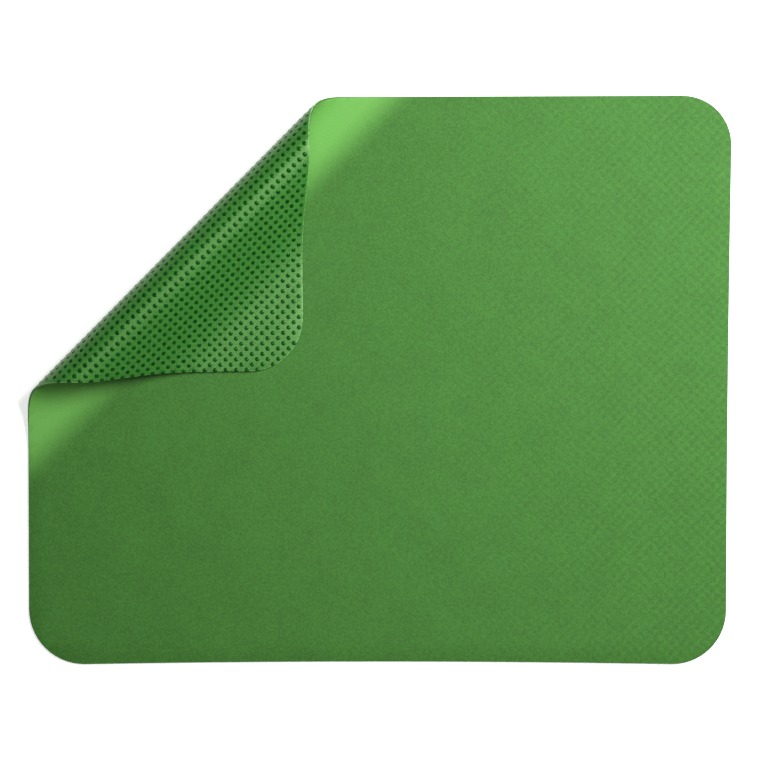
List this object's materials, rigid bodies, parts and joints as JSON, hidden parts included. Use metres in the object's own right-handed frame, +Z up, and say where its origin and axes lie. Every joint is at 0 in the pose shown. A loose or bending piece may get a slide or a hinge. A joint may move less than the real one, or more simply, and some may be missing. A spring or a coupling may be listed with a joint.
{
  "type": "non-slip cloth mat",
  "caption": "Thin rectangular cloth mat with rounded corners and an underside of small silicone grip dots, one corner rolled over to lie on the mat.",
  "frame": {"origin": "on the table under the middle of the mat, at the level of the grip dots' crowns", "axes": "+X to the right, +Y to the back edge, +Z up; the folded corner is the back left one"},
  "size_m": [0.237, 0.1915, 0.0174],
  "materials": {
    "face_cloth": "green brushed microfibre knit, matt",
    "backing_cloth": "green close-knit backing cloth, slight sheen",
    "grip_dots": "clear silicone droplets that look dark green on the cloth, glossy"
  },
  "bodies": {
    "mat": {"mat_face_cloth": "face_cloth", "mat_backing_cloth": "backing_cloth", "mat_resting_grip_dots": "grip_dots", "mat_front_grip_dots": "grip_dots", "mat_back_grip_dots": "grip_dots"},
    "fold_01": {"fold_01_face_cloth": "face_cloth", "fold_01_backing_cloth": "backing_cloth", "fold_01_grip_dots": "grip_dots"},
    "fold_02": {"fold_02_face_cloth": "face_cloth", "fold_02_backing_cloth": "backing_cloth", "fold_02_grip_dots": "grip_dots"},
    "fold_03": {"fold_03_face_cloth": "face_cloth", "fold_03_backing_cloth": "backing_cloth", "fold_03_grip_dots": "grip_dots"},
    "fold_04": {"fold_04_face_cloth": "face_cloth", "fold_04_backing_cloth": "backing_cloth", "fold_04_grip_dots": "grip_dots"},
    "fold_05": {"fold_05_face_cloth": "face_cloth", "fold_05_backing_cloth": "backing_cloth", "fold_05_grip_dots": "grip_dots"},
    "fold_06": {"fold_06_face_cloth": "face_cloth", "fold_06_backing_cloth": "backing_cloth", "fold_06_grip_dots": "grip_dots"},
    "fold_07": {"fold_07_face_cloth": "face_cloth", "fold_07_backing_cloth": "backing_cloth", "fold_07_grip_dots": "grip_dots"},
    "fold_08": {"fold_08_face_cloth": "face_cloth", "fold_08_backing_cloth": "backing_cloth", "fold_08_grip_dots": "grip_dots"},
    "fold_09": {"fold_09_face_cloth": "face_cloth", "fold_09_backing_cloth": "backing_cloth", "fold_09_grip_dots": "grip_dots"},
    "fold_10": {"fold_10_face_cloth": "face_cloth", "fold_10_backing_cloth": "backing_cloth", "fold_10_grip_dots": "grip_dots"},
    "fold_11": {"fold_11_face_cloth": "face_cloth", "fold_11_backing_cloth": "backing_cloth", "fold_11_grip_dots": "grip_dots"},
    "fold_12": {"fold_12_face_cloth": "face_cloth", "fold_12_backing_cloth": "backing_cloth", "fold_12_grip_dots": "grip_dots"},
    "fold_13": {"fold_13_face_cloth": "face_cloth", "fold_13_backing_cloth": "backing_cloth", "fold_13_grip_dots": "grip_dots"},
    "fold_14": {"fold_14_face_cloth": "face_cloth", "fold_14_backing_cloth": "backing_cloth", "fold_14_grip_dots": "grip_dots"},
    "fold_15": {"fold_15_face_cloth": "face_cloth", "fold_15_backing_cloth": "backing_cloth", "fold_15_grip_dots": "grip_dots"},
    "fold_16": {"fold_16_face_cloth": "face_cloth", "fold_16_backing_cloth": "backing_cloth", "fold_16_grip_dots": "grip_dots"},
    "fold_17": {"fold_17_face_cloth": "face_cloth", "fold_17_backing_cloth": "backing_cloth", "fold_17_grip_dots": "grip_dots"}
  },
  "joints": [
    {"name": "crease_01", "type": "hinge", "parent": "mat", "child": "fold_01", "pos_m": [-0.04917, 0.04855, 0.00055], "axis": [-0.7026, -0.7116, 0], "range_deg": [0, 16]},
    {"name": "crease_02", "type": "hinge", "parent": "fold_01", "child": "fold_02", "pos_m": [-0.05258, 0.05191, 0.00192], "axis": [-0.7026, -0.7116, 0], "range_deg": [0, 15]},
    {"name": "crease_03", "type": "hinge", "parent": "fold_02", "child": "fold_03", "pos_m": [-0.0541, 0.05341, 0.00321], "axis": [-0.7026, -0.7116, 0], "range_deg": [0, 14]},
    {"name": "crease_04", "type": "hinge", "parent": "fold_03", "child": "fold_04", "pos_m": [-0.05535, 0.05465, 0.00497], "axis": [-0.7026, -0.7116, 0], "range_deg": [0, 16]},
    {"name": "crease_05", "type": "hinge", "parent": "fold_04", "child": "fold_05", "pos_m": [-0.05621, 0.0555, 0.00715], "axis": [-0.7026, -0.7116, 0], "range_deg": [0, 20]},
    {"name": "crease_06", "type": "hinge", "parent": "fold_05", "child": "fold_06", "pos_m": [-0.05649, 0.05577, 0.00961], "axis": [-0.7026, -0.7116, 0], "range_deg": [0, 22]},
    {"name": "crease_07", "type": "hinge", "parent": "fold_06", "child": "fold_07", "pos_m": [-0.05609, 0.05538, 0.01203], "axis": [-0.7026, -0.7116, 0], "range_deg": [0, 20]},
    {"name": "crease_08", "type": "hinge", "parent": "fold_07", "child": "fold_08", "pos_m": [-0.05512, 0.05442, 0.01412], "axis": [-0.7026, -0.7116, 0], "range_deg": [0, 18]},
    {"name": "crease_09", "type": "hinge", "parent": "fold_08", "child": "fold_09", "pos_m": [-0.05375, 0.05306, 0.01569], "axis": [-0.7026, -0.7116, 0], "range_deg": [0, 16]},
    {"name": "crease_10", "type": "hinge", "parent": "fold_09", "child": "fold_10", "pos_m": [-0.05212, 0.05145, 0.01666], "axis": [-0.7026, -0.7116, 0], "range_deg": [0, 17]},
    {"name": "crease_11", "type": "hinge", "parent": "fold_10", "child": "fold_11", "pos_m": [-0.05035, 0.04971, 0.01692], "axis": [-0.7026, -0.7116, 0], "range_deg": [0, 20]},
    {"name": "crease_12", "type": "hinge", "parent": "fold_11", "child": "fold_12", "pos_m": [-0.04863, 0.04802, 0.01632], "axis": [-0.7026, -0.7116, 0], "range_deg": [0, 17]},
    {"name": "crease_13", "type": "hinge", "parent": "fold_12", "child": "fold_13", "pos_m": [-0.04711, 0.04652, 0.01504], "axis": [-0.7026, -0.7116, 0], "range_deg": [0, 10]},
    {"name": "crease_14", "type": "hinge", "parent": "fold_13", "child": "fold_14", "pos_m": [-0.04043, 0.03991, 0.00687], "axis": [-0.7026, -0.7116, 0], "range_deg": [-8, 0]},
    {"name": "crease_15", "type": "hinge", "parent": "fold_14", "child": "fold_15", "pos_m": [-0.03745, 0.03698, 0.00415], "axis": [-0.7026, -0.7116, 0], "range_deg": [-11, 0]},
    {"name": "crease_16", "type": "hinge", "parent": "fold_15", "child": "fold_16", "pos_m": [-0.03417, 0.03373, 0.00229], "axis": [-0.7026, -0.7116, 0], "range_deg": [-14, 0]},
    {"name": "crease_17", "type": "hinge", "parent": "fold_16", "child": "fold_17", "pos_m": [-0.03066, 0.03027, 0.00159], "axis": [-0.7026, -0.7116, 0], "range_deg": [-8, 0]}
  ],
  "couplings": [
    {"joint": "crease_02", "follows": "crease_01", "ratio": 0.9375},
    {"joint": "crease_03", "follows": "crease_01", "ratio": 0.875},
    {"joint": "crease_04", "follows": "crease_01", "ratio": 1},
    {"joint": "crease_05", "follows": "crease_01", "ratio": 1.25},
    {"joint": "crease_06", "follows": "crease_01", "ratio": 1.375},
    {"joint": "crease_07", "follows": "crease_01", "ratio": 1.25},
    {"joint": "crease_08", "follows": "crease_01", "ratio": 1.125},
    {"joint": "crease_09", "follows": "crease_01", "ratio": 1},
    {"joint": "crease_10", "follows": "crease_01", "ratio": 1.0625},
    {"joint": "crease_11", "follows": "crease_01", "ratio": 1.25},
    {"joint": "crease_12", "follows": "crease_01", "ratio": 1.0625},
    {"joint": "crease_13", "follows": "crease_01", "ratio": 0.625},
    {"joint": "crease_14", "follows": "crease_01", "ratio": -0.5},
    {"joint": "crease_15", "follows": "crease_01", "ratio": -0.6875},
    {"joint": "crease_16", "follows": "crease_01", "ratio": -0.875},
    {"joint": "crease_17", "follows": "crease_01", "ratio": -0.5}
  ]
}
